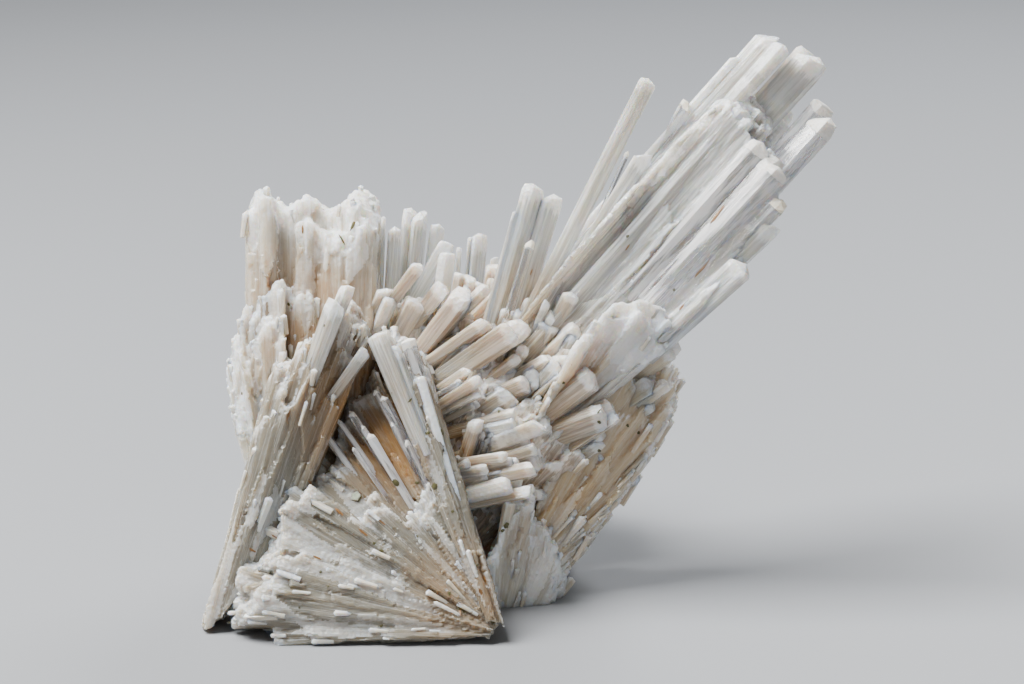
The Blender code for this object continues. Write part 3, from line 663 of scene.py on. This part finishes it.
class Spray:
    """A bundle of columns that runs from a small root out to a sheet of tips."""

    def __init__(self, shape, seed):
        self.shape = shape = {**HABIT, **shape}
        self.seed = seed
        self.rng = np.random.default_rng(seed)
        rows = shape["tips"]
        if len(rows) == 1:
            rows = rows + [[(a, u, b + shape["deep"]) for a, u, b in rows[0]]]
        self.rows = np.array([[in_model(point) for point in row] for row in rows])
        self.root = in_model(shape["root"])
        self.middle = self.rows.reshape(-1, 3).mean(0)
        along = np.linalg.norm(np.diff(self.rows, axis=1), axis=2).sum(1).mean() / MM
        deep = np.linalg.norm(np.diff(self.rows, axis=0), axis=2).sum(0).mean() / MM
        length = np.linalg.norm(self.middle - self.root) / MM
        self.size = np.array((along, deep, length))
        self.columns = round(along / shape["column"])
        self.depth = max(2, round(deep / shape["column"]))
        self.cells, self.places = honeycomb(self.columns, self.depth, COLUMN_LIFT, self.rng)
        self.flat_middles = self.places[self.cells].mean(1)
        front = facets(self.places[:, 0], along, shape["facet"], self.rng)
        back = facets(self.places[:, 0], along, shape["facet"], self.rng)
        b = self.places[:, 1]
        self.places[:, 1] = b + (back * b ** 2 - front * (1 - b) ** 2) / deep
        self.tip = on_sheet(self.rows, self.places[:, 0], self.places[:, 1])
        self.base = self.root + (self.tip - self.middle) * shape["spread"]
        # The middles of the columns, at the root and at the sheet of tips
        self.low = self.base[self.cells].mean(1)
        self.high = self.tip[self.cells].mean(1)
        self.set_heights()

    def set_heights(self):
        """How far each column reaches, from 0 at the root to 1 at the sheet of tips."""
        shape, rng = self.shape, self.rng
        along, _, length = self.size
        large = Blocks(self.flat_middles, self.size, shape["block"], rng)
        small = Blocks(self.flat_middles, self.size, SMALL_BLOCK, rng)
        slant = rng.uniform(-SLANT_TOP, SLANT_TOP, (large.count, 2))[large.of]
        short = shape["ragged"] * length * rng.random(large.count)[large.of] ** 1.3
        short += ROUND_TOP * np.minimum(large.off_middle, 1.2) ** 2
        short += np.abs((slant * large.gap).sum(1))
        short += rng.random(small.count)[small.of] ** 2 * 1.1
        short += rng.random(len(self.cells)) * 0.3
        heights = 1 - short / length
        for low, high, front_only, limit in shape["ledges"]:
            a, b = self.flat_middles.T
            inside = (a >= low) & (a <= high) & ~((b > LEDGE_DEPTH) & front_only)
            limits = limit * (0.93 + 0.12 * rng.random(large.count))[large.of]
            heights[inside] = np.minimum(heights, limits)[inside]
        deep_in = self.flat_middles[:, 1] * self.depth
        for side in (deep_in, self.depth - deep_in):
            for layer, low in LAYERS:
                stretches = Stretches(along, shape["facet"] * 0.7, rng)
                low = 1 - shape["peel"] * (1 - low)
                cut = rng.uniform(low, 1.1, stretches.count)
                of = stretches.at(self.flat_middles[:, 0])
                lean = rng.uniform(-0.4, 0.4, stretches.count)[of]
                lean = lean * (self.flat_middles[:, 0] - stretches.middles[of]) * along / length
                limits = cut[of] + lean - 0.02 * rng.random(small.count)[small.of]
                outer = side < layer
                heights[outer] = np.minimum(heights, limits)[outer]
        self.heights = np.maximum(heights, shape["start"] + SHORTEST)

    def skin(self, name, material):
        """The spray's outer skin, with its patches, grains and domes, as a piece."""
        shape = self.shape
        points, _, _, faces, _, _ = grow_columns(self.base, self.tip, self.cells, self.heights,
                                                 shape["start"], self.rng)
        mesh = even_skin(points, faces, shape["face"])
        points = np.empty(len(mesh.vertices) * 3)
        normals = np.empty(len(mesh.vertices) * 3)
        mesh.vertices.foreach_get("co", points)
        mesh.vertex_normals.foreach_get("vector", normals)
        points, normals = points.reshape(-1, 3), normals.reshape(-1, 3)

        # Every column points away from one place, from which the grain is measured
        source = (self.root - self.middle * shape["spread"]) / (1 - shape["spread"])
        ends = self.low + (self.high - self.low) * self.heights[:, None]
        reach = np.linalg.norm(ends - source, axis=1)
        tree = KDTree(len(ends))
        for index, way in enumerate((ends - source) / reach[:, None]):
            tree.insert(way, index)
        tree.balance()
        far = np.linalg.norm(points - source, axis=1)
        ways = (points - source) / far[:, None]
        top = np.array([max(reach[index] for _, index, _ in tree.find_n(way, 3)) for way in ways])
        across = unit(np.cross(self.middle - source, self.rows[0, -1] - self.rows[0, 0]))
        along = unit(np.cross(across, self.middle - source))
        scale = reach.mean() / MM
        grain = np.column_stack([ways @ across * scale, ways @ along * scale, far / MM])
        under = np.maximum(top - far, 0) / MM
        end = smooth((normals * ways).sum(1), 0.35, 0.75)

        width = shape["patch"]
        patch = Cells(grain / (width, width, width * PATCH_LONG), self.seed)
        fine = Cells(grain / (GRAIN_SIZE, GRAIN_SIZE, GRAIN_SIZE * GRAIN_LONG), self.seed + 50)
        dome = Cells(points / (DOME_SIZE * MM), self.seed + 90)
        turn = np.column_stack([patch.chance(k) - 0.5 for k in (4, 5, 6)]) * PATCH_TURN * 2
        side = (patch.chance(1) - 0.6) * PATCH_STEP
        side += (turn * patch.gap).sum(1) * width
        side += (fine.chance(1) - 0.5) * GRAIN_STEP
        rounded = DOME_RISE * (0.4 - dome.off_middle ** 2) + (dome.chance(1) - 0.5) * GRAIN_STEP
        rise = side * (1 - end) + rounded * end
        points = points + normals * (rise * MM)[:, None]
        mesh.vertices.foreach_set("co", points.ravel())
        tone = patch.chance(2) * (1 - end) + dome.chance(2) * end
        mark(mesh, "grain", "POINT", grain)
        mark(mesh, "under", "POINT", under * (1 - end))
        mark(mesh, "tone", "POINT", tone)
        mesh.shade_smooth()
        mesh.set_sharp_from_angle(angle=SHARP)
        return finish_piece(name, mesh, material)

    def rods(self, skin):
        """Short rods in the columns' ends and lying on the two sides."""
        rng = self.rng
        base, axis = self.low, self.high - self.low
        in_ends, in_sides = self.shape["rods"]
        ends = round(self.size[0] * self.size[1] / 100 * in_ends)
        sides = round(self.size[0] * self.size[2] / 100 * in_sides)
        picked = rng.integers(0, len(self.cells), ends)
        width = rng.lognormal(math.log(END_ROD), 0.35, ends)
        length = width * rng.uniform(2.5, 4, ends)
        tip = base[picked] + axis[picked] * self.heights[picked, None]
        aside = unit(rng.normal(size=(ends, 3)))
        tip += aside * (self.shape["column"] * rng.random(ends) * 0.6 * MM)[:, None]
        tip += unit(axis[picked]) * (rng.uniform(0, 1.1, ends) * width * MM)[:, None]
        lean = rng.normal(0, 0.12, (ends, 3))
        add_rods(skin, tip, unit(unit(axis[picked]) + lean), width, length, rng)

        row = np.arange(len(self.cells)) // self.columns
        for edge, inner, corners in ((0, 1, (0, 1, 2)), (self.depth - 1, self.depth - 2, (3, 4, 5))):
            picked = rng.choice(np.flatnonzero(row == edge), sides)
            within = picked + (inner - edge) * self.columns
            reach = self.heights[picked] * rng.uniform(0.3, 1, sides)
            surface = self.base[self.cells[picked][:, corners]].mean(1)
            surface += (self.tip[self.cells[picked][:, corners]].mean(1) - surface) * reach[:, None]
            inside = base[within] + axis[within] * reach[:, None]
            outward = unit(surface - inside)
            width = rng.lognormal(math.log(SIDE_ROD), 0.4, sides)
            length = width * rng.uniform(3, 6, sides)
            tip = surface + outward * (width * rng.uniform(0, 0.5, sides) * MM)[:, None]
            lean = outward * rng.uniform(0.05, 0.3, sides)[:, None] + rng.normal(0, 0.08, (sides, 3))
            add_rods(skin, tip, unit(unit(axis[picked]) + lean), width, length, rng)


def add_rods(skin, tip, axis, width, length, rng):
    """Six-sided rods with a low point, given by their tips, directions and sizes in mm."""
    count = len(tip)
    side = unit(np.cross(axis, unit(rng.normal(size=(count, 3)))))
    face = np.cross(axis, side)
    turn = np.radians(np.arange(6) * 60 + 30) + rng.uniform(-0.15, 0.15, (count, 6))
    flat = rng.uniform(0.6, 1, count)
    ring = side[:, None] * np.cos(turn)[..., None] + face[:, None] * (np.sin(turn) * flat[:, None])[..., None]
    ring *= (width / 2 * MM)[:, None, None]
    low = rng.uniform(0.15, 0.5, count) * width
    top = tip - axis * (low * MM)[:, None]
    bottom = tip - axis * (length * MM)[:, None]
    aside = ring[:, 0] * rng.uniform(-0.4, 0.4, count)[:, None]
    rings = [bottom[:, None] + ring * ROOT_TAPER, top[:, None] + ring]
    points = np.concatenate([*rings, (tip + aside)[:, None]], axis=1)
    pattern = [[k, (k + 1) % 6, 6 + (k + 1) % 6, 6 + k] for k in range(6)]
    pattern += [[5, 4, 3, 2, 1, 0]]
    pattern += [[6 + k, 6 + (k + 1) % 6, 12] for k in range(6)]
    faces = [[index * 13 + k for k in face] for index in range(count) for face in pattern]
    grain = np.zeros((count, 13, 3))
    grain[:, :6, 0] = grain[:, 6:12, 0] = np.cos(turn) * width[:, None] / 2
    grain[:, 6:, 2] = length[:, None]
    grain += rng.uniform(0, 500, (count, 1, 3))
    below = [0 if k > 5 else 1 for face in pattern for k in face]
    under = np.outer(length, below).ravel()
    skin.add(points.reshape(-1, 3), faces, grain.reshape(-1, 3), under, np.repeat(rng.random(count), 13))


def crystal_ends(dive, crystal, rng):
    """Tip, root and frame (side, face, axis) of a single crystal."""
    tip, lean, length, _, _ = crystal
    lean = math.radians(lean)
    root = (tip[0] - length * math.sin(lean), tip[1] - length * math.cos(lean), tip[2] + length * dive)
    tip = in_model(tip)
    root = in_model(root)
    axis = Vector(tip - root).normalized()
    side = axis.cross(Vector((0, 0, 1))).normalized()
    side = Matrix.Rotation(math.radians(rng.uniform(-MAX_ROLL, MAX_ROLL)), 3, axis) @ side
    return tip, root, np.array(side), np.array(axis.cross(side)), np.array(axis)


def beside(crystal, dive, rng):
    """A smaller crystal that grew next to a given one, its tip a little nearer to their root."""
    (across, up, back), lean, length, width, thickness = crystal
    share = rng.uniform(0.4, 0.8)
    off = rng.uniform(0.5, BESIDE) * width * rng.choice((-1, 1))
    angle = math.radians(lean)
    short = rng.uniform(0.02, 0.25) * length
    tip = (across + off * math.cos(angle) - short * math.sin(angle),
           up - off * math.sin(angle) - short * math.cos(angle),
           back + math.copysign(rng.uniform(0, 2.5), dive))
    return tip, lean + rng.normal(0, 6), length * rng.uniform(0.5, 0.8), width * share, thickness * share


def add_blade(skin, dive, crystal, rng):
    """A blade of a few columns that share their walls, each with its own end."""
    tip, root, side, face, _ = crystal_ends(dive, crystal, rng)
    _, _, length, width, thickness = crystal
    columns = max(1, round(width / BLADE_COLUMN))
    depth = max(1, round(thickness / BLADE_COLUMN))
    cells, places = honeycomb(columns, depth, BLADE_LIFT, rng)
    offset = (places - 0.5) * (width, thickness)
    across = (offset[:, :1] * side + offset[:, 1:] * face) * MM
    middles = places[cells].mean(1)
    order = rng.uniform(-1, 1, 2) @ (middles - 0.5).T
    short = (order - order.min()) * width * 0.6 + rng.random(len(cells)) * width * 0.4
    short -= short.min()
    points, corner, height, faces, owners, under = grow_columns(
        root + across * ROOT_TAPER, tip + across, cells, 1 - short / length, 0.0, rng, BLADE_BEVEL)
    grain = np.column_stack([offset[corner], height * length]) + rng.uniform(0, 500, 3)
    tone = np.clip(rng.random() + rng.uniform(-0.2, 0.2, len(cells)), 0, 1)
    skin.add(points, faces, grain, under * length, tone[owners])


def add_prism(skin, dive, crystal, rng):
    """A clear crystal: a flattened six-sided prism with a low point."""
    tip, root, side, face, axis = crystal_ends(dive, crystal, rng)
    _, _, length, width, thickness = crystal
    angles = np.radians(np.array([0, 62, 118, 180, 242, 298]) + rng.uniform(-6, 6, 6))
    outline = np.outer(np.cos(angles), side) * width + np.outer(np.sin(angles), face) * thickness
    outline *= MM / 2
    below = np.array([length, 4, 1.2, 0.5])
    widths = np.array([ROOT_TAPER, 0.92, 1.0, 0.85])
    points = [tip - axis * d * MM + outline * w for d, w in zip(below, widths)]
    slant = outline @ (side * rng.uniform(-0.6, 0.6) + face * rng.uniform(-0.6, 0.6))
    points[-1] += np.outer(slant, axis)
    points = np.concatenate([*points, [tip], [root]])
    faces = [[ring * 6 + k, ring * 6 + (k + 1) % 6, ring * 6 + 6 + (k + 1) % 6, ring * 6 + 6 + k]
             for ring in range(3) for k in range(6)]
    faces += [[(k + 1) % 6, k, 25] for k in range(6)]
    faces += [[18 + k, 18 + (k + 1) % 6, 24] for k in range(6)]
    down = np.concatenate([np.repeat(below, 6), [0, length]])
    grain = np.column_stack([points @ side / MM, points @ face / MM, length - down])
    under = np.concatenate([down[face] for face in faces])
    skin.add(points, faces, grain, under, np.full(len(faces), rng.random()))


class Nodes:
    """Short calls for building a material's node tree."""

    def __init__(self, name):
        self.material = bpy.data.materials.new(name)
        self.material.use_nodes = True
        self.tree = self.material.node_tree
        self.shader = self.tree.nodes["Principled BSDF"]

    def new(self, kind, output, inputs, **settings):
        """The output of a new node; each input gets a value or another node's output."""
        node = self.tree.nodes.new("ShaderNode" + kind)
        for key, value in settings.items():
            setattr(node, key, value)
        for key, value in inputs.items():
            if isinstance(value, bpy.types.NodeSocket):
                self.tree.links.new(value, node.inputs[key])
            else:
                node.inputs[key].default_value = value
        return node.outputs[output]

    def link(self, source, name):
        self.tree.links.new(source, self.shader.inputs[name])

    def attribute(self, name, output="Fac"):
        return self.new("Attribute", output, {}, attribute_name=name)

    def place(self):
        return self.new("TexCoord", "Object", {})

    def scaled(self, vector, scale):
        return self.new("Mapping", "Vector", {"Vector": vector, "Scale": scale})

    def noise(self, vector, scale, detail=3, rough=0.5):
        inputs = {"Vector": vector, "Scale": scale, "Detail": detail, "Roughness": rough}
        return self.new("TexNoise", "Fac", inputs)

    def grains(self, vector, scale):
        return self.new("TexVoronoi", "Distance", {"Vector": vector, "Scale": scale})

    def distance(self, vector, point):
        return self.new("VectorMath", "Value", {0: vector, 1: point}, operation="DISTANCE")

    def ranged(self, value, low, high, to_low=0.0, to_high=1.0):
        inputs = {"Value": value, "From Min": low, "From Max": high, "To Min": to_low, "To Max": to_high}
        return self.new("MapRange", "Result", inputs)

    def maths(self, operation, first, second):
        return self.new("Math", "Value", {0: first, 1: second}, operation=operation)

    def mix(self, factor, first, second):
        first, second = [(*c, 1) if isinstance(c, tuple) else c for c in (first, second)]
        return self.new("Mix", 2, {0: factor, 6: first, 7: second}, data_type="RGBA")

    def bump(self, height, strength, distance, normal=None):
        inputs = {"Height": height, "Strength": strength, "Distance": distance}
        if normal is not None:
            inputs["Normal"] = normal
        return self.new("Bump", "Normal", inputs)

    def set(self, **values):
        for key, value in values.items():
            self.shader.inputs[key.replace("_", " ")].default_value = value


def milky(name, tip, body, deep, frost_deep, patchy, see_through, rough_face, soft):
    """Milky crystal: frosted at its ends and in patches, streaked, and stained in its recesses, partly with
    painted shade.

    tip, body, deep: colours of the ends, of the sides and of the recesses, deep being partly a real stain and
    partly painted shade. frost_deep:
    how far the frost reaches down from an end, mm. patchy: the share of frosted patches.
    see_through: how clear it is where it has no frost. rough_face: how rough its plain faces
    are. soft: how far light wanders in it, mm.
    """
    n = Nodes(name)
    grain = n.attribute("grain", "Vector")
    under = n.attribute("under")
    tone = n.attribute("tone")
    place = n.place()
    streaks = n.noise(n.scaled(grain, (1.8, 1.8, 0.10)), 1.0, 4, 0.6)
    cloud = n.noise(place, 260, 5, 0.65)

    # Frost, down from the ends to a ragged edge, and in patches
    ragged = n.maths("ADD", n.ranged(cloud, 0.3, 0.7, -0.6, 0.6), n.ranged(streaks, 0.3, 0.7, -0.5, 0.5))
    worn = n.maths("ADD", under, n.maths("MULTIPLY", ragged, frost_deep))
    frost = n.ranged(worn, 0.0, frost_deep, 1.0, 0.0)
    patch = n.ranged(n.maths("ADD", tone, n.ranged(cloud, 0.3, 0.7, -0.12, 0.12)),
                     1.0 - patchy, 1.10 - patchy, 0.0, 0.6)
    frost = n.maths("MAXIMUM", frost, patch)

    # The sides, with darker and cloudy parts and pale fibres
    dark = tuple(c * f for c, f in zip(body, (0.88, 0.85, 0.80)))
    fine = n.noise(n.scaled(grain, (4.5, 4.5, 0.08)), 1.0, 3)
    shade = n.mix(n.ranged(tone, 0.0, 0.6, 0.6, 0.0), body, dark)
    cloudy = n.ranged(n.noise(place, 75, 2), 0.42, 0.60, 0.0, 0.7)
    shade = n.mix(cloudy, shade, tuple(c * 0.78 for c in body))
    shade = n.mix(n.ranged(streaks, 0.40, 0.62, 0.0, 0.5), shade, dark)
    shade = n.mix(n.ranged(fine, 0.46, 0.36, 0.0, 0.35), shade, tip)

    # Stains, partly real and partly painted shade: stronger deeper below the ends, weaker near them
    stain_and_shade = None
    for spot, radius, strength in STAINS_AND_SHADE:
        off = n.distance(place, tuple(in_model(spot)))
        here = n.ranged(off, radius * 0.4 * MM, radius * MM, strength, 0.0)
        stain_and_shade = here if stain_and_shade is None else n.maths("MAXIMUM", stain_and_shade, here)
    stain_and_shade = n.maths("MULTIPLY", stain_and_shade, n.ranged(cloud, 0.30, 0.55, 0.65, 1.0))
    stain_and_shade = n.maths("MULTIPLY", stain_and_shade, n.ranged(streaks, 0.35, 0.55, 0.6, 1.0))
    stain_and_shade = n.maths("MULTIPLY", stain_and_shade, n.ranged(under, 0.3, 5.0, 0.25, 1.0))
    shade = n.mix(stain_and_shade, shade, deep)
    shade = n.mix(n.maths("MULTIPLY", frost, n.ranged(stain_and_shade, 0.0, 1.0, 1.0, 0.1)), shade, tip)
    n.link(shade, "Base Color")

    # Roughness and relief
    rough = n.ranged(streaks, 0.35, 0.65, rough_face * 0.6, rough_face * 1.5)
    n.link(n.maths("ADD", rough, n.maths("MULTIPLY", frost, 0.15)), "Roughness")
    sugar = n.grains(place, 1800)
    normal = n.bump(fine, n.ranged(frost, 0.0, 1.0, 0.9, 0.35), 0.0002)
    normal = n.bump(cloud, 0.4, 0.0006, normal)
    n.link(n.bump(sugar, n.ranged(frost, 0.0, 1.0, 0.1, 0.8), 0.00022, normal), "Normal")
    if see_through:
        clear = n.ranged(frost, 0.0, 0.6, see_through, 0.0)
        n.link(n.maths("MULTIPLY", clear, n.ranged(streaks, 0.40, 0.58, 0.4, 1.0)), "Transmission Weight")
    n.shader.subsurface_method = "RANDOM_WALK"
    n.set(Subsurface_Weight=0.9, Subsurface_Scale=soft * MM, IOR=CRYSTAL_IOR)
    n.set(Subsurface_Radius=(1.0, 0.75, 0.5))
    return n.material


def clear_material(name, body, cap, cap_deep, veils):
    """Clear crystal with faint striation, milky veils and an opaque cap, cap_deep mm deep."""
    n = Nodes(name)
    grain = n.attribute("grain", "Vector")
    fine = n.noise(n.scaled(grain, (4, 4, 0.08)), 1.0, 3)
    cloud = n.noise(n.place(), 420, 4, 0.6)
    worn = n.maths("ADD", n.attribute("under"), n.ranged(cloud, 0.3, 0.7, -0.5, 0.5))
    capped = n.ranged(worn, cap_deep * 0.6, cap_deep, 1.0, 0.0)
    veil = n.noise(n.scaled(grain, (0.9, 0.9, 0.09)), 1.0, 4, 0.6)
    milk = n.maths("MAXIMUM", capped, n.ranged(veil, 0.60 - veils * 0.3, 0.75 - veils * 0.3, 0.0, veils))
    n.link(n.mix(capped, body, cap), "Base Color")
    n.link(n.ranged(milk, 0.0, 1.0, 0.97, 0.0), "Transmission Weight")
    n.link(n.maths("MAXIMUM", n.ranged(fine, 0.45, 0.7, 0.02, 0.18), n.maths("MULTIPLY", capped, 0.5)),
           "Roughness")
    normal = n.bump(fine, 0.5, 0.0001)
    n.link(n.bump(n.grains(n.place(), 2200), n.maths("MULTIPLY", capped, 0.7), 0.00014, normal), "Normal")
    n.set(IOR=CRYSTAL_IOR, Subsurface_Weight=0.6, Subsurface_Scale=CLEAR_SOFT * MM)
    n.set(Subsurface_Radius=(1.0, 0.85, 0.7))
    return n.material


def plain_grain(name, colour, rough, clear=0.0):
    n = Nodes(name)
    mottle = n.ranged(n.noise(n.place(), 3000, 2), 0.35, 0.65)
    n.link(n.mix(mottle, colour, tuple(c * 0.55 for c in colour)), "Base Color")
    n.set(Roughness=rough, Transmission_Weight=clear)
    return n.material


class Surface:
    """The specimen's surface as the front view sees it."""

    def __init__(self, objects):
        self.trees = []
        for obj in objects:
            points = [v.co for v in obj.data.vertices]
            faces = [p.vertices for p in obj.data.polygons]
            self.trees.append(BVHTree.FromPolygons(points, faces))
        self.eye = Vector(in_model((SIGHT_ACROSS, SIGHT_UP, -VIEW_DISTANCE)))

    def seen_at(self, across, up):
        """Where the line of sight through a place of the layout meets the surface, and its normal."""
        sight = (Vector(in_model((across, up, 0))) - self.eye).normalized()
        hits = [tree.ray_cast(self.eye, sight) for tree in self.trees]
        spot, normal, _, _ = min((hit for hit in hits if hit[0]), key=lambda hit: hit[3], default=(None,) * 4)
        return spot, normal


def add_grain(bm, spot, normal, lean, size, rng):
    """A flat lump lying in the surface, size across and along, mm."""
    upright = Vector(in_model((math.sin(lean), math.cos(lean), 0)) - in_model((0, 0, 0)))
    along = (upright - normal * upright.dot(normal)).normalized()
    turn = Matrix((along.cross(normal), along, normal)).transposed().to_4x4()
    across, length = size
    thick = across * GRAIN_FLAT
    place = Matrix.Translation(spot + normal * thick * (0.5 - GRAIN_SUNK) * MM) @ turn
    made = bmesh.ops.create_icosphere(bm, subdivisions=2, radius=0.5)
    for vert in made["verts"]:
        wander = rng.uniform(0.7, 1.25)
        vert.co = place @ Vector((vert.co.x * across * wander * MM, vert.co.y * length * wander * MM,
                                  vert.co.z * thick * MM))


def add_grains(name, surface, grains, streaks, material, rng):
    bm = bmesh.new()
    for across, up, size in grains:
        spot, normal = surface.seen_at(across, up)
        if spot is not None:
            add_grain(bm, spot, normal, rng.uniform(0, math.pi), (size, size * GRAIN_LENGTH), rng)
    for across, up, length, lean in streaks:
        spot, normal = surface.seen_at(across, up)
        if spot is not None:
            add_grain(bm, spot, normal, math.radians(lean), (length * 0.12 + 0.15, length), rng)
    add_piece(name, to_mesh(name, bm, material))


def add_green_plate(surface):
    """The small greenish crystal: a five-sided plate in a dark rim."""
    spot, normal = surface.seen_at(*GREEN_PLATE)
    turn = normal.to_track_quat("Z", "Y").to_matrix().to_4x4()
    for name, share, thick, material in (
            ("green_crystal", 0.84, 0.7, plain_grain("green_mineral", GREEN, 0.5)),
            ("green_crystal_rim", 1.0, 0.6, plain_grain("olive_mineral", OLIVE, 0.35))):
        bm = bmesh.new()
        radius = GREEN_SIZE / 2 * share * MM
        bmesh.ops.create_cone(bm, cap_ends=True, segments=5, radius1=radius, radius2=radius * 0.94,
                              depth=thick * MM, matrix=Matrix.Translation(spot) @ turn)
        add_piece(name, to_mesh(name, bm, material))


def add_area(name, size, power, spot, colour):
    light = bpy.data.lights.new(name, "AREA")
    light.size = size
    light.energy = power
    light.color = colour
    obj = in_scene(name, light)
    obj.location = spot
    obj.rotation_euler = (Vector(LIT_POINT) - Vector(spot)).to_track_quat("-Z", "Y").to_euler()


def make_stage():
    """Pale floor, soft light, and the camera at the photo's view."""
    bm = bmesh.new()
    bmesh.ops.create_grid(bm, x_segments=1, y_segments=1, size=FLOOR_REACH)
    n = Nodes("pale_floor")
    n.set(Base_Color=(*FLOOR, 1), Roughness=0.55)
    in_scene("floor", to_mesh("floor", bm, n.material))

    world = bpy.data.worlds.new("studio")
    world.use_nodes = True
    world.node_tree.nodes["Background"].inputs["Color"].default_value = (*STUDIO, 1)
    world.node_tree.nodes["Background"].inputs["Strength"].default_value = STUDIO_LIGHT
    bpy.context.scene.world = world
    for light in LIGHTS:
        add_area(*light)

    camera = bpy.data.cameras.new("camera")
    camera.sensor_width = SENSOR
    camera.lens = SENSOR * VIEW_DISTANCE / VIEW_WIDTH
    camera.clip_start = 0.01
    obj = in_scene("camera", camera)
    obj.location = in_model((SIGHT_ACROSS, SIGHT_UP, -VIEW_DISTANCE))
    obj.rotation_euler = (math.pi / 2 - VIEW_TILT, 0, 0)
    bpy.context.scene.camera = obj


def add_crystals(name, group, seed, add_one, material):
    rng = np.random.default_rng(seed)
    skin = Skin()
    dive, companions, crystals = group
    for crystal in crystals:
        add_one(skin, dive, crystal, rng)
        for _ in range(companions):
            add_one(skin, dive, beside(crystal, dive, rng), rng)
    return skin.to_object(name, material)


def main():
    make_stage()
    materials = {name: milky(f"{name}_scolecite", *look) for name, look in MILKY.items()}
    made = []
    crust = Skin()
    for seed, (name, shape) in enumerate(SPRAYS.items(), start=1):
        spray = Spray(shape, seed)
        made.append(spray.skin(name, materials[LOOKS.get(name, "white")]))
        spray.rods(crust)
    made.append(crust.to_object("sugary_crust", materials["crust"]))
    for number, (name, group) in enumerate(CRYSTALS.items()):
        look = materials[LOOKS.get(name, "white")]
        made.append(add_crystals(f"{name}_crystals", group, CRYSTAL_SEED + number, add_blade, look))
    clear = clear_material("clear_scolecite", *CLEAR_LOOK)
    made.append(add_crystals("clear_crystals", CLEAR, CLEAR_SEED, add_prism, clear))
    pale = clear_material("pale_scolecite", *PALE_LOOK)
    made.append(add_crystals("pale_crystals", PALE, CLEAR_SEED + 1, add_blade, pale))
    made.append(add_crystals("cavity_needles", NEEDLES, CLEAR_SEED + 2, add_prism, pale))

    surface = Surface(made)
    rng = np.random.default_rng(GRAIN_SEED)
    olive = plain_grain("olive_grains", DARK_OLIVE, 0.4)
    rust = plain_grain("rust_grains", RUST, 0.4, 0.2)
    add_grains("olive_specks", surface, OLIVE_GRAINS, OLIVE_STREAKS, olive, rng)
    add_grains("rust_specks", surface, [], RUST_STREAKS, rust, rng)
    add_green_plate(surface)


main()
